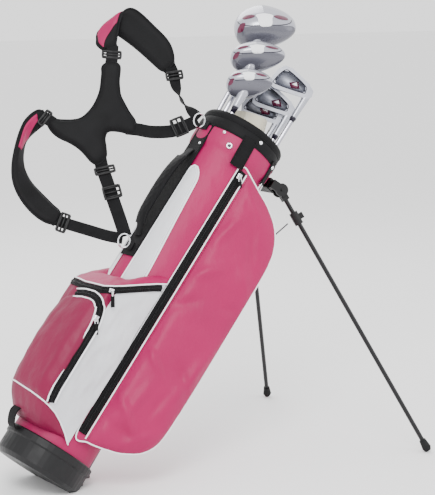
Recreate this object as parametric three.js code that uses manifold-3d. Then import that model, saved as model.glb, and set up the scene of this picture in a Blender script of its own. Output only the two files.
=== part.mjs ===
// Junior golf club set: a leaning stand bag with its harness and seven clubs.
// Units are millimetres and +Z is up. The bag leans towards +X on its two legs.
// Bag parts are modelled upright: z runs up the bag from the base rim, +x is the
// leg side, -x the spine side and -y the pocket side. The bag group then leans.
import * as THREE from 'three';
import { mergeVertices } from 'three/addons/utils/BufferGeometryUtils.js';
import Module from 'manifold-3d';

const wasm = await Module();
wasm.setup();

// Driving dimensions
const LEAN = THREE.MathUtils.degToRad(38.7);
const RIM_HEIGHT = 66;              // height of the base rim's centre above the floor
const GAP = 0.3;                    // clearance between touching pieces
const SHELL_RADIUS = 80.5;
const SHELL_WALL = 2.5;
const SHELL_TOP = 666;
const CUP_RADIUS = 85.5;
const CUP_RIM_RADIUS = 88;
const CUP_INNER_RADIUS = 80.8;
const CUP_BOTTOM = -48;
const CUP_FLOOR = -40;
const SOLE_THICKNESS = 9;           // base cup material above the floor plane
const COLLAR_RADIUS = 84;
const COLLAR_INNER_RADIUS = 76;
const COLLAR_BOTTOM = 652;
const COLLAR_TOP = 718;
const MOUTH_HEIGHT = 738;           // where each club's place at the mouth is measured
const SHAFT_RADIUS = 4.6;
const GRIP_LENGTH = 230;
const GRIP_BUTT_RADIUS = 12;
const GRIP_TIP_RADIUS = 8.5;
const WEBBING = 25;                 // webbing width
const LEG_LENGTH = 596.27;          // pivot to tip
const LEG_SPREAD = THREE.MathUtils.degToRad(63.6);
const LEG_TURN = THREE.MathUtils.degToRad(22.4);
const LEG_PIVOT = new THREE.Vector3(105, 55, 663);
const LEG_TUBE_RADIUS = 4.5;
const CLIP_DISTANCE = 63;           // pivot to the stay clip
const RUNNER_HEIGHT = 305;
const FOOT_PIVOT_X = 44.8;
const FOOT_PIVOT_Z = -45.5;
const FOOT_THICKNESS = 5;
const FOOT_LEVER = 70;              // pivot to the push rod's eye
const FOOT_PIN_RADIUS = 1.3;
const FOOT_BORE_RADIUS = 1.6;
const LEG_PIN_RADIUS = 2.4;
const LEG_BORE_RADIUS = 2.8;
const WIRE_RADIUS = 1.5;
const HARNESS_TURN = THREE.MathUtils.degToRad(-34.6);
const HARNESS_OFFSET = -55;         // harness plane, in front of the bag's axis
const RING_X = -104;                // centre of the harness D-rings
const UPPER_RING_Z = 676;
const LOWER_RING_Z = 399;

const PINK = new THREE.MeshStandardMaterial({ color: 0xe0417e, roughness: 0.55 });
const WHITE = new THREE.MeshStandardMaterial({ color: 0xe9e9ee, roughness: 0.5 });
const BLACK = new THREE.MeshStandardMaterial({ color: 0x17171b, roughness: 0.7 });
const PLASTIC = new THREE.MeshStandardMaterial({ color: 0x1d1e22, roughness: 0.45 });
const STEEL = new THREE.MeshStandardMaterial({ color: 0xc9ccd2, roughness: 0.25, metalness: 1 });
const SHAFT = new THREE.MeshStandardMaterial({ color: 0xb9bcc6, roughness: 0.3, metalness: 0.8 });
const PEARL = new THREE.MeshStandardMaterial({ color: 0xdfe2ea, roughness: 0.3, metalness: 0.5 });
const CREAM = new THREE.MeshStandardMaterial({ color: 0xf0ece2, roughness: 0.4 });
const RUBBER = new THREE.MeshStandardMaterial({ color: 0x222226, roughness: 0.9 });

// Shape helpers

function solid(geometry) {
  const bare = geometry.clone();
  bare.deleteAttribute('normal');
  bare.deleteAttribute('uv');
  const merged = mergeVertices(bare, 1e-4);
  const mesh = new wasm.Mesh({
    numProp: 3,
    vertProperties: new Float32Array(merged.attributes.position.array),
    triVerts: new Uint32Array(merged.index.array),
  });
  return new wasm.Manifold(mesh);
}

function geometryOf(manifold) {
  const mesh = manifold.getMesh();
  const geometry = new THREE.BufferGeometry();
  geometry.setAttribute('position', new THREE.BufferAttribute(mesh.vertProperties, 3));
  geometry.setIndex(new THREE.BufferAttribute(mesh.triVerts, 1));
  geometry.computeVertexNormals();
  return geometry;
}

function piece(name, shape, material, parent) {
  const geometry = shape.isBufferGeometry ? shape : geometryOf(shape);
  const mesh = new THREE.Mesh(geometry, material);
  mesh.name = name;
  parent.add(mesh);
  return mesh;
}

function outline(points) {
  return new THREE.Shape(points.map(([x, y]) => new THREE.Vector2(x, y)));
}

function smoothOutline(points, divisions) {
  const closed = new THREE.CatmullRomCurve3(points.map(([x, y]) => new THREE.Vector3(x, y, 0)), true);
  const along = closed.getPoints(divisions).slice(0, -1);
  return new THREE.Shape(along.map((p) => new THREE.Vector2(p.x, p.y)));
}

function prism(shape, depth) {
  return new THREE.ExtrudeGeometry(shape, { depth, bevelEnabled: false, curveSegments: 12 });
}

// A prism whose outline is drawn in x and z, centred on y.
function upright(shape, depth) {
  return prism(shape, depth).rotateX(Math.PI / 2).translate(0, depth / 2, 0);
}

function box(x, y, z, cx, cy, cz) {
  return new THREE.BoxGeometry(x, y, z).translate(cx, cy, cz);
}

function cylinderZ(radius, from, to, sides = 48) {
  const height = to - from;
  return new THREE.CylinderGeometry(radius, radius, height, sides)
    .rotateX(Math.PI / 2)
    .translate(0, 0, (from + to) / 2);
}

function cylinderY(radius, length, sides) {
  return new THREE.CylinderGeometry(radius, radius, length, sides);
}

function lathe(profile, sides) {
  const points = profile.map(([r, z]) => new THREE.Vector2(r, z));
  return new THREE.LatheGeometry(points, sides).rotateX(Math.PI / 2);
}

function rod(points, radius, steps, sides = 8) {
  const path = new THREE.CatmullRomCurve3(points.map((p) => new THREE.Vector3(...p)), false, 'centripetal');
  const section = new THREE.Shape().absarc(0, 0, radius, 0, Math.PI * 2);
  return new THREE.ExtrudeGeometry(section, { steps, curveSegments: sides / 2, extrudePath: path });
}

// Everything above a plane parallel to the floor, as seen from the leaning bag.
function aboveFloor(height) {
  const size = 4000;
  const block = box(size, size, size, 0, 0, size / 2 + height - RIM_HEIGHT);
  return solid(block.rotateY(-LEAN));
}

// Bag body

function baseCup() {
  const body = solid(lathe([
    [0, CUP_BOTTOM], [CUP_RADIUS - 8, CUP_BOTTOM], [CUP_RADIUS, CUP_BOTTOM + 8],
    [CUP_RADIUS, -9], [CUP_RIM_RADIUS, -6], [CUP_RIM_RADIUS, 6], [CUP_RIM_RADIUS - 2, 8], [0, 8],
  ], 48));
  const hollow = solid(cylinderZ(CUP_INNER_RADIUS, CUP_FLOOR, 40)).intersect(aboveFloor(SOLE_THICKNESS));
  const footSlot = solid(box(120, 92, 120, 60 + FOOT_PIVOT_X, 0, FOOT_PIVOT_Z))
    .subtract(aboveFloor(FOOT_THICKNESS + GAP));
  const barrelRoom = solid(cylinderY(3, 92, 16).translate(FOOT_PIVOT_X, 0, FOOT_PIVOT_Z));
  const pinHole = solid(cylinderY(FOOT_BORE_RADIUS, 130, 12).translate(FOOT_PIVOT_X, 0, FOOT_PIVOT_Z));
  return body.intersect(aboveFloor(0)).subtract(hollow).subtract(footSlot)
    .subtract(barrelRoom).subtract(pinHole);
}

function shell() {
  const outer = solid(cylinderZ(SHELL_RADIUS, CUP_FLOOR + GAP, SHELL_TOP));
  const inner = solid(cylinderZ(SHELL_RADIUS - SHELL_WALL, CUP_FLOOR - 10, SHELL_TOP + 10));
  return outer.subtract(inner).intersect(aboveFloor(SOLE_THICKNESS + 2));
}

function collar() {
  return lathe([
    [COLLAR_INNER_RADIUS, SHELL_TOP + 2], [SHELL_RADIUS + GAP, SHELL_TOP + 2],
    [SHELL_RADIUS + GAP, COLLAR_BOTTOM], [COLLAR_RADIUS, COLLAR_BOTTOM],
    [COLLAR_RADIUS, COLLAR_TOP - 12], [COLLAR_RADIUS + 1.5, COLLAR_TOP - 6],
    [COLLAR_RADIUS - 1, COLLAR_TOP - 1], [COLLAR_RADIUS - 4, COLLAR_TOP],
    [COLLAR_INNER_RADIUS + 1, COLLAR_TOP - 2],
    [COLLAR_INNER_RADIUS, COLLAR_TOP - 5], [COLLAR_INNER_RADIUS, SHELL_TOP + 2],
  ], 48);
}

function topDivider() {
  const bars = [[-34, 130], [14, 142]].map(([x, span]) => solid(box(5, span, 30, x, 0, 0)));
  const bridge = solid(box(48, 5, 30, -10, 0, 0));
  return bars[0].add(bars[1]).add(bridge).translate([0, 0, COLLAR_TOP - 30]);
}

function spineStrip() {
  return box(2.2, 20, 262, -(SHELL_RADIUS + 2), 0, 516);
}

function carryHandle() {
  const arch = outline([
    [-84, 420], [-99, 452], [-107, 480], [-108, 520], [-105, 570], [-93, 612], [-84, 628],
    [-84, 606], [-93, 570], [-95, 520], [-94, 485], [-88, 458], [-84, 445],
  ]);
  return upright(arch, 24);
}

function apparelPocket() {
  const seam = new THREE.Vector2(-24.5, -78);
  const farEdge = new THREE.Vector2(105, -140);
  const turn = farEdge.clone().sub(seam).angle();
  const front = outline([
    [2, 50], [30, 44], [74, 54], [128, 80], [143, 112], [148, 200], [149, 420], [148, 500],
    [140, 545], [118, 577], [86, 604], [16, 640], [2, 626],
  ]);
  const depth = 130;
  const slab = prism(front, depth).rotateX(Math.PI / 2).translate(0, depth, 0)
    .rotateZ(turn).translate(seam.x, seam.y, 0);
  const section = prism(outline([[-26, -60], [-26, -90], [108, -150], [64, -50], [20, -40]]), 700);
  return solid(slab).intersect(solid(section)).subtract(solid(cylinderZ(SHELL_RADIUS + GAP, 0, 700)));
}

function ballPocket() {
  const section = prism(outline([
    [-28, -60], [-27, -80], [-60, -84], [-118, -89], [-133, -78], [-138, -40], [-138, 5], [-132, 32],
    [-112, 52], [-72, 62], [-40, 40],
  ]), 420);
  const side = upright(outline([
    [-20, 48], [-60, 56], [-104, 74], [-134, 100], [-140, 180], [-138, 252], [-126, 276],
    [-82, 376], [-20, 376],
  ]), 260);
  return solid(section).intersect(solid(side)).subtract(solid(cylinderZ(SHELL_RADIUS + GAP, 0, 500)));
}

function baseLoop() {
  const ring = outline([
    [-89, 2], [-98, -2], [-108, 10], [-113, 26], [-106, 40], [-92, 44], [-82, 40],
    [-82, 36], [-92, 40], [-103, 37], [-109, 26], [-104, 12], [-97, 3], [-89, 6],
  ]);
  return upright(ring, WEBBING * 0.8);
}

function legBracket() {
  let body = solid(box(22, 84, 22, 92, 0, 664));
  for (const side of [-1, 1]) {
    const ears = [-8.5, 8.5].map((y) => solid(cylinderY(13, 4.4, 20).translate(0, y, 0)));
    const arm = solid(box(20, 21.4, 18, -13, 0, 0));
    const notch = solid(box(34, 12.6, 40, 2, 0, 0));
    const fork = ears[0].add(ears[1]).add(arm).subtract(notch)
      .add(solid(box(8, 21.4, 18, -19, 0, 0)))
      .rotate([0, 0, THREE.MathUtils.radToDeg(side * LEG_TURN)])
      .translate([LEG_PIVOT.x, side * LEG_PIVOT.y, LEG_PIVOT.z]);
    body = body.add(fork);
  }
  for (const side of [-1, 1]) {
    const bore = solid(cylinderY(LEG_BORE_RADIUS, 30, 12));
    body = body.subtract(bore.rotate([0, 0, THREE.MathUtils.radToDeg(side * LEG_TURN)])
      .translate([LEG_PIVOT.x, side * LEG_PIVOT.y, LEG_PIVOT.z]));
  }
  return body.subtract(solid(cylinderZ(COLLAR_RADIUS + GAP, 600, 740)));
}

function ringShape() {
  return new THREE.TorusGeometry(13, 1.8, 8, 20);
}

// Club set

// Rest height of a grip's butt on the cup's stepped floor.
function buttHeight(x) {
  const edge = x + GRIP_BUTT_RADIUS + 1;
  const slope = (SOLE_THICKNESS - RIM_HEIGHT + Math.sin(LEAN) * edge) / Math.cos(LEAN);
  return Math.max(CUP_FLOOR, slope) + 2.5;
}

// A tapered neck from the heel down to the shaft.
function hosel(down, radius, length) {
  const turn = new THREE.Quaternion().setFromUnitVectors(new THREE.Vector3(0, 1, 0), down);
  return solid(new THREE.CylinderGeometry(radius, radius + 2, length, 20)
    .translate(0, length / 2, 0).applyQuaternion(turn));
}

// Heads are drawn with x from heel to toe, y from face to back and z out of the sole.
function woodHead(down, length, depth, height) {
  const plan = smoothOutline([
    [length * -0.33, 0], [length * -0.2, -8], [length * 0.2, -11], [length * 0.54, -9],
    [length * 0.67, 4], [length * 0.64, depth * 0.4], [length * 0.42, depth - 14],
    [length * 0.1, depth - 6], [length * -0.22, depth * 0.7], [length * -0.34, depth * 0.3],
  ], 30);
  const dome = new THREE.SphereGeometry(1, 24, 14)
    .scale(length * 0.58, depth * 0.72, height / 2)
    .translate(length * 0.17, depth * 0.3, 0);
  const walls = prism(plan, height).translate(0, 0, -height / 2);
  return solid(walls).intersect(solid(dome)).add(hosel(down, 6.6, 44));
}

function ironHead(down) {
  const blade = outline([
    [-8, 6], [-4, 16], [12, 22], [58, 23], [72, 17], [78, 2], [76, -20], [68, -31], [58, -30],
    [8, -8], [-4, -4],
  ]);
  const cavity = outline([[8, 6], [16, 14], [56, 15], [67, 8], [69, -16], [62, -22], [12, -1]]);
  const body = solid(prism(blade, 12).rotateX(Math.PI / 2).translate(0, 8, 0));
  const pocket = solid(prism(cavity, 6).rotateX(Math.PI / 2).translate(0, 9, 0));
  return body.subtract(pocket).add(hosel(down, 5.6, 50));
}

function putterHead(down) {
  const plan = smoothOutline([
    [-3, -7], [30, -8], [66, -7], [70, 8], [58, 34], [30, 44], [4, 34], [-5, 8],
  ], 28);
  return solid(prism(plan, 24).translate(0, 0, -10)).add(hosel(down, 5.4, 40));
}

function gripShape() {
  return lathe([
    [0, 0], [GRIP_BUTT_RADIUS - 2.5, 0], [GRIP_BUTT_RADIUS, 2.5], [GRIP_TIP_RADIUS + 1, GRIP_LENGTH - 40],
    [GRIP_TIP_RADIUS - 1, GRIP_LENGTH], [0, GRIP_LENGTH],
  ], 16);
}

// Directions in the bag's frame: from heel to toe, and out of the sole.
const WOOD_TOE = [0.576, -0.563, 0.593];
const WOOD_SOLE = [-0.804, -0.255, 0.538];
const IRON_TOE = [-0.830, 0.524, 0.180];
const IRON_SOLE = [0.028, -0.286, 0.956];
const PUTTER_TOE = [-0.957, 0.090, -0.274];
const PUTTER_SOLE = [-0.263, 0.118, 0.957];

const CLUBS = [
  { name: 'driver', butt: [-14, 36], mouth: [-44, 55], heel: 908, hosel: 44,
    toe: WOOD_TOE, sole: WOOD_SOLE, head: (down) => woodHead(down, 120, 78, 54), material: PEARL },
  { name: 'fairway_wood', butt: [-18, 6], mouth: [-55, 16.6], heel: 843, hosel: 44,
    toe: WOOD_TOE, sole: WOOD_SOLE, head: (down) => woodHead(down, 104, 43, 34), material: PEARL },
  { name: 'hybrid', butt: [-18, -26], mouth: [-63.6, -20.3], heel: 778, hosel: 44,
    toe: WOOD_TOE, sole: WOOD_SOLE, head: (down) => woodHead(down, 86, 40, 30), material: PEARL },
  { name: 'iron_long', butt: [46, -38], mouth: [50, -42], heel: 848, hosel: 50,
    toe: IRON_TOE, sole: IRON_SOLE, head: ironHead, material: STEEL },
  { name: 'iron_mid', butt: [61, -8], mouth: [58.6, -10], heel: 808, hosel: 50,
    toe: IRON_TOE, sole: IRON_SOLE, head: ironHead, material: STEEL },
  { name: 'iron_short', butt: [55, 23], mouth: [59.6, 12.4], heel: 788, hosel: 50,
    toe: IRON_TOE, sole: IRON_SOLE, head: ironHead, material: STEEL },
  { name: 'putter', butt: [24, 50], mouth: [47.5, 40.5], heel: 760, hosel: 40,
    toe: PUTTER_TOE, sole: PUTTER_SOLE, head: putterHead, material: CREAM },
];

function headTurn(club) {
  const toe = new THREE.Vector3(...club.toe).normalize();
  const back = new THREE.Vector3(...club.sole).cross(toe).normalize();
  const sole = toe.clone().cross(back);
  return new THREE.Quaternion().setFromRotationMatrix(new THREE.Matrix4().makeBasis(toe, back, sole));
}

function addClub(club, bag) {
  const butt = new THREE.Vector3(club.butt[0], club.butt[1], buttHeight(club.butt[0]));
  const mouth = new THREE.Vector3(club.mouth[0], club.mouth[1], MOUTH_HEIGHT);
  const direction = mouth.clone().sub(butt).normalize();
  const heelDistance = (club.heel - butt.z) / direction.z;

  const turn = headTurn(club);
  const down = direction.clone().negate().applyQuaternion(turn.clone().invert());
  const head = piece(`${club.name}_head`, club.head(down), club.material, bag);
  head.quaternion.copy(turn);
  head.position.copy(butt).addScaledVector(direction, heelDistance);

  const group = new THREE.Group();
  group.position.copy(butt);
  group.quaternion.setFromUnitVectors(new THREE.Vector3(0, 0, 1), direction);
  bag.add(group);
  const shaftEnd = heelDistance - club.hosel - GAP;
  piece(`${club.name}_shaft`, cylinderZ(SHAFT_RADIUS, GRIP_LENGTH + GAP, shaftEnd, 12), SHAFT, group);
  piece(`${club.name}_grip`, gripShape(), RUBBER, group);
}

// Stand

function addLeg(name, side, bag) {
  const leg = new THREE.Group();
  leg.position.set(LEG_PIVOT.x, side * LEG_PIVOT.y, LEG_PIVOT.z);
  leg.rotation.set(0, 0, side * LEG_TURN);
  const spread = new THREE.Group();
  spread.rotation.y = -LEG_SPREAD;
  leg.add(spread);
  bag.add(leg);

  const knuckle = solid(cylinderY(9, 11.6, 16))
    .add(solid(box(14, 11.6, 24, 0, 0, -10)))
    .add(solid(cylinderY(LEG_PIN_RADIUS, 26, 12)));
  piece(`leg_knuckle_${name}`, knuckle, PLASTIC, spread);
  piece(`leg_tube_${name}`, cylinderZ(LEG_TUBE_RADIUS, -(LEG_LENGTH - 26), -22 - GAP, 12), PLASTIC, spread);
  const clipBore = solid(cylinderZ(LEG_TUBE_RADIUS + GAP, -100, 0, 12));
  const clip = solid(cylinderZ(8.5, -CLIP_DISTANCE - 13, -CLIP_DISTANCE + 13, 16))
    .add(solid(box(10, 5, 12, 11, 0, -CLIP_DISTANCE))).subtract(clipBore);
  piece(`leg_clip_${name}`, clip, PLASTIC, spread);
  const tip = lathe([
    [0, -LEG_LENGTH], [6, -LEG_LENGTH + 1], [9, -LEG_LENGTH + 7], [8, -LEG_LENGTH + 14],
    [6.5, -LEG_LENGTH + 25.7], [0, -LEG_LENGTH + 25.7],
  ], 16);
  piece(`leg_tip_${name}`, tip, RUBBER, spread);
}

function addStay(name, side, bag) {
  const bends = [[93, side * 9, RUNNER_HEIGHT + 8], [149, side * 62, 606], [155, side * 65, 619]];
  piece(`stay_wire_${name}`, rod(bends, WIRE_RADIUS, 3), STEEL, bag);
}

function pivotFoot() {
  const plate = outline([
    [0, -44], [38, -44], [44, -36], [44, -12], [FOOT_LEVER + 6, -8], [FOOT_LEVER + 6, 8], [44, 12],
    [44, 36], [38, 44], [0, 44],
  ]);
  const half = FOOT_THICKNESS / 2;
  const barrel = solid(cylinderY(half, 88, 16));
  const bore = solid(cylinderY(FOOT_BORE_RADIUS, 100, 12));
  const slot = solid(box(14, 4.4, 20, FOOT_LEVER - 3, 0, 0));
  return solid(prism(plate, FOOT_THICKNESS - 0.4).translate(0, 0, -half + 0.2)).add(barrel)
    .subtract(bore).subtract(slot);
}

function runnerBlock() {
  return box(9, 28, 14, 88.5, 0, RUNNER_HEIGHT);
}

// Harness, drawn in its own plane: x across (negative is away from the bag), z up the bag.

function pad(points, thickness, divisions) {
  return upright(smoothOutline(points, divisions), thickness);
}

function band(points, width, thickness, steps) {
  const curve = new THREE.CatmullRomCurve3(points.map(([x, z]) => new THREE.Vector3(x, z, 0)));
  const left = [];
  const right = [];
  for (let i = 0; i <= steps; i += 1) {
    const at = curve.getPointAt(i / steps);
    const along = curve.getTangentAt(i / steps);
    left.push([at.x - along.y * width / 2, at.y + along.x * width / 2]);
    right.unshift([at.x + along.y * width / 2, at.y - along.x * width / 2]);
  }
  return upright(outline([...left, ...right]), thickness);
}

function addHarness(bag) {
  const harness = new THREE.Group();
  harness.rotation.z = HARNESS_TURN;
  harness.position.set(
    -Math.sin(HARNESS_TURN) * HARNESS_OFFSET,
    Math.cos(HARNESS_TURN) * HARNESS_OFFSET,
    0,
  );
  bag.add(harness);
  const backPad = [
    [-297, 668], [-270, 684], [-244, 640], [-196, 612], [-194, 586], [-224, 562], [-205, 522],
    [-210, 502], [-250, 508], [-295, 508], [-326, 518], [-322, 532], [-284, 556], [-274, 612],
  ];
  piece('back_pad', pad(backPad, 9, 56), BLACK, harness);
  const upperShoulder = [[-293, 702], [-326, 738], [-322, 782], [-272, 790], [-212, 762], [-186, 736]];
  piece('shoulder_pad_upper', band(upperShoulder, 38, 12, 18), BLACK, harness);
  const lowerShoulder = [[-344, 510], [-354, 474], [-342, 426], [-306, 382], [-256, 364], [-216, 364]];
  piece('shoulder_pad_lower', band(lowerShoulder, 38, 12, 18), BLACK, harness);
  piece('strap_upper_shoulder', band([[-176, 725], [-150, 708], [-108, 684]], 16, 2.4, 6), BLACK, harness);
  piece('strap_upper_back', band([[-184, 604], [-150, 625], [-104, 668]], WEBBING, 2.4, 6), BLACK, harness);
  piece('strap_lower_back', band([[-196, 500], [-150, 468], [-105, 418]], WEBBING, 2.4, 6), BLACK, harness);
  piece('strap_lower_shoulder', band([[-208, 364], [-160, 380], [-106, 396]], 20, 2.4, 6), BLACK, harness);
}

// Assembly

function assemble() {
  const bag = new THREE.Group();
  bag.rotation.y = LEAN;
  bag.position.z = RIM_HEIGHT;

  piece('base_cup', baseCup(), PLASTIC, bag);
  piece('shell', shell(), PINK, bag);
  piece('collar', collar(), BLACK, bag);
  piece('top_divider', topDivider(), BLACK, bag);
  piece('spine_strip', spineStrip(), BLACK, bag);
  piece('carry_handle', carryHandle(), BLACK, bag);
  piece('apparel_pocket', apparelPocket(), PINK, bag);
  piece('ball_pocket', ballPocket(), PINK, bag);
  piece('leg_bracket', legBracket(), PLASTIC, bag);
  piece('base_loop', baseLoop(), BLACK, bag);
  piece('collar_tab', box(WEBBING, 2.4, 58, -12, -(COLLAR_RADIUS + 4), 671), BLACK, bag);
  piece('towel_strap', box(14, 2.4, 42, 0, -(SHELL_RADIUS + 2), 626).rotateZ(1.05), BLACK, bag);

  for (const [name, z] of [['upper', UPPER_RING_Z], ['lower', LOWER_RING_Z]]) {
    const ring = piece(`ring_${name}`, ringShape(), STEEL, bag);
    ring.position.set(RING_X, 0, z);
    ring.rotation.set(Math.PI / 2, 0, 0);
    piece(`ring_tab_${name}`, box(3, 18, 16, -(SHELL_RADIUS + 6), 0, z), BLACK, bag);
  }

  const foot = piece('pivot_foot', pivotFoot(), PLASTIC, bag);
  foot.position.set(FOOT_PIVOT_X, 0, FOOT_PIVOT_Z);
  foot.rotation.y = -LEAN;
  const footPin = cylinderY(FOOT_PIN_RADIUS, 128, 10).translate(FOOT_PIVOT_X, 0, FOOT_PIVOT_Z);
  piece('foot_pin', footPin, STEEL, bag);
  piece('stay_runner', runnerBlock(), PLASTIC, bag);
  const eyeX = FOOT_PIVOT_X + FOOT_LEVER * Math.cos(LEAN);
  const eyeZ = FOOT_PIVOT_Z + FOOT_LEVER * Math.sin(LEAN) + 5;
  const rodBends = [[90, 0, RUNNER_HEIGHT - 8], [96, 0, 120], [eyeX, 0, eyeZ]];
  piece('push_rod', rod(rodBends, WIRE_RADIUS, 6), STEEL, bag);

  for (const [name, side] of [['near', -1], ['far', 1]]) {
    addLeg(name, side, bag);
    addStay(name, side, bag);
  }
  piece('apparel_slider', box(5, 4, 16, -22, -86, 612), STEEL, bag);
  piece('ball_slider', box(14, 5, 5, -90, -92, 262), STEEL, bag);
  addHarness(bag);
  for (const club of CLUBS) addClub(club, bag);
  return bag;
}

const root = new THREE.Group();
root.name = 'golf_club_set';
const bag = assemble();
root.add(bag);

// The origin is the centre of the object's box, on the floor.
root.updateMatrixWorld(true);
const bounds = new THREE.Box3().setFromObject(root, true);
const centre = bounds.getCenter(new THREE.Vector3());
bag.position.sub(new THREE.Vector3(centre.x, centre.y, bounds.min.z));

export default root;
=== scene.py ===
import math

import bpy
import numpy as np
from mathutils import Matrix, Vector, geometry, noise


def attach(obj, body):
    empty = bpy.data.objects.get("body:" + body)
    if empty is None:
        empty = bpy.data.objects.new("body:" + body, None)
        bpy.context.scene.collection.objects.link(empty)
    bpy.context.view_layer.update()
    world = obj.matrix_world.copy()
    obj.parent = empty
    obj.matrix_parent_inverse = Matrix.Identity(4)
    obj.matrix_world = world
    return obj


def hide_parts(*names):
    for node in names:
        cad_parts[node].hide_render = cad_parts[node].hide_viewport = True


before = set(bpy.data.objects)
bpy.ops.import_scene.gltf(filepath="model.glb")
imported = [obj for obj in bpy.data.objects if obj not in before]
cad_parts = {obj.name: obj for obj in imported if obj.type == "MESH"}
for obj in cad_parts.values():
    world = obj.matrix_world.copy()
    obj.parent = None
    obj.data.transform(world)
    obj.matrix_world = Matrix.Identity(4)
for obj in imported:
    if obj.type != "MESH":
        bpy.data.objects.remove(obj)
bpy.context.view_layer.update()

# The bag's own frame, in millimetres: z runs up the bag from the base rim, +x is the
# leg side, -x the spine side and -y the pocket side.
LEAN = math.radians(38.7)
RIM_HEIGHT = 66
FOOT_CLEARANCE = 14
BAG = Matrix.Translation((-315.058, 0, 66.020)) @ Matrix.Rotation(LEAN, 4, "Y")
SHELL_RADIUS = 80.5
DEGREE = math.radians(1) * SHELL_RADIUS    # the arc of one degree round the body
COLLAR_BOTTOM = 681
COLLAR_SEAM = 704
COLLAR_TOP = 718
MOUTH_HEIGHT = 738
CUP_FLOOR = -40
SOLE_THICKNESS = 9         # base cup material above the floor plane
GRIP_BUTT_RADIUS = 12
BUTT_GAP = 2.5
PIPING_RADIUS = 1.5
TOOTH_PITCH = 2.2
WEBBING = 25
HARNESS_TURN = math.radians(-34.6)

PINK = (0.3, 0.0004, 0.066)
PINK_DARK = (0.17, 0.0003, 0.034)
WHITE = (0.62, 0.63, 0.66)
BLACK = (0.003, 0.003, 0.0035)
DULL = 0.15              # the specular level of a matt fabric


def on_bag(point):
    """A point of the bag's own frame, in millimetres, as a point of the row frame."""
    return (BAG @ Vector(point)) * 0.001


# Materials

def new_material(name, color, **sockets):
    made = bpy.data.materials.new(name)
    made.use_nodes = True
    sockets["Base_Color"] = (*color, 1)
    for socket, value in sockets.items():
        shader_input(made, socket.replace("_", " ")).default_value = value
    return made


def shader_input(made, socket):
    return made.node_tree.nodes["Principled BSDF"].inputs[socket]


def texture(made, kind, scale, stretch=(1, 1, 1), coordinates="Object", **values):
    """A texture node in metres, and its output."""
    nodes, links = made.node_tree.nodes, made.node_tree.links
    place = nodes.new("ShaderNodeTexCoord")
    mapping = nodes.new("ShaderNodeMapping")
    mapping.inputs["Scale"].default_value = stretch
    node = nodes.new(f"ShaderNodeTex{kind}")
    node.inputs["Scale"].default_value = scale
    for socket, value in values.items():
        node.inputs[socket].default_value = value
    links.new(place.outputs[coordinates], mapping.inputs["Vector"])
    links.new(mapping.outputs["Vector"], node.inputs["Vector"])
    return node.outputs[0]


def bump(made, height, distance, strength=1.0):
    """Adds a bump under any bump the material already has."""
    links = made.node_tree.links
    normal = shader_input(made, "Normal")
    node = made.node_tree.nodes.new("ShaderNodeBump")
    node.inputs["Distance"].default_value = distance
    node.inputs["Strength"].default_value = strength
    links.new(height, node.inputs["Height"])
    for link in list(normal.links):
        links.new(link.from_socket, node.inputs["Normal"])
    links.new(node.outputs["Normal"], normal)


def between(made, value, low, high, socket):
    """Runs a socket of the shader between two tones, as a value goes from dark to light."""
    node = made.node_tree.nodes.new("ShaderNodeValToRGB")
    for element, place, tone in zip(node.color_ramp.elements, (0.3, 0.7), (low, high)):
        element.position = place
        element.color = (*tone, 1)
    made.node_tree.links.new(value, node.inputs["Fac"])
    made.node_tree.links.new(node.outputs["Color"], shader_input(made, socket))


def tint(made, scale, color, low, high, **options):
    """Varies the colour softly between two shares of itself."""
    mottle = texture(made, "Noise", scale, **options)
    between(made, mottle, scaled(color, low), scaled(color, high), "Base Color")


def worn_roughness(made, scale, low, high):
    wear = texture(made, "Noise", scale, Detail=6)
    between(made, wear, [low] * 3, [high] * 3, "Roughness")


def scaled(color, factor):
    return tuple(min(1, c * factor) for c in color)


def nylon(name, color, roughness=0.5):
    made = new_material(name, color, Roughness=roughness, Sheen_Weight=0.02, Sheen_Roughness=0.45,
                        Sheen_Tint=(*scaled(color, 1.2), 1), Specular_IOR_Level=2 * DULL)
    tint(made, 9, color, 0.93, 1.06, Detail=3)
    bump(made, texture(made, "Noise", 20, stretch=(1, 1, 0.5), Detail=4), 0.006, 0.8)
    bump(made, texture(made, "Checker", 1500), 0.00006, 0.5)
    return made


def woven(name, color, pitch=0.0016):
    """Webbing: ribs across the strap, from its UV coordinates in metres."""
    made = new_material(name, color, Roughness=0.72, Sheen_Weight=0.02, Sheen_Roughness=0.5,
                        Specular_IOR_Level=DULL)
    ribs = texture(made, "Wave", 1 / (pitch * 3.2), coordinates="UV", Distortion=0.4)
    bump(made, ribs, 0.0004, 0.8)
    tint(made, 60, color, 0.8, 1.6, Detail=4)
    return made


def mesh_foam(name, color):
    made = new_material(name, color, Roughness=0.66, Sheen_Weight=0.03, Sheen_Roughness=0.4,
                        Specular_IOR_Level=DULL)
    bump(made, texture(made, "Voronoi", 620), 0.0003, 0.6)
    bump(made, texture(made, "Noise", 30, Detail=2), 0.0016, 0.6)
    tint(made, 25, color, 0.8, 1.5, Detail=5)
    return made


def plastic(name, color, roughness=0.42, grain=900):
    made = new_material(name, color, Roughness=roughness, Specular_IOR_Level=2 * DULL)
    bump(made, texture(made, "Noise", grain, Detail=4), 0.0001, 0.5)
    worn_roughness(made, 45, roughness - 0.08, roughness + 0.14)
    return made


def metal(name, color, roughness, stretch=(1, 1, 1), grain=300):
    made = new_material(name, color, Roughness=roughness, Metallic=1.0)
    bump(made, texture(made, "Noise", grain, stretch=stretch, Detail=5), 0.00004, 0.4)
    worn_roughness(made, 60, roughness, roughness + 0.12)
    return made


def pearl(name, color):
    made = new_material(name, color, Roughness=0.3, Metallic=0.45, Coat_Weight=0.6,
                        Coat_Roughness=0.12)
    tint(made, 700, color, 0.95, 1.03, Detail=2)
    worn_roughness(made, 30, 0.24, 0.36)
    return made


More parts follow.
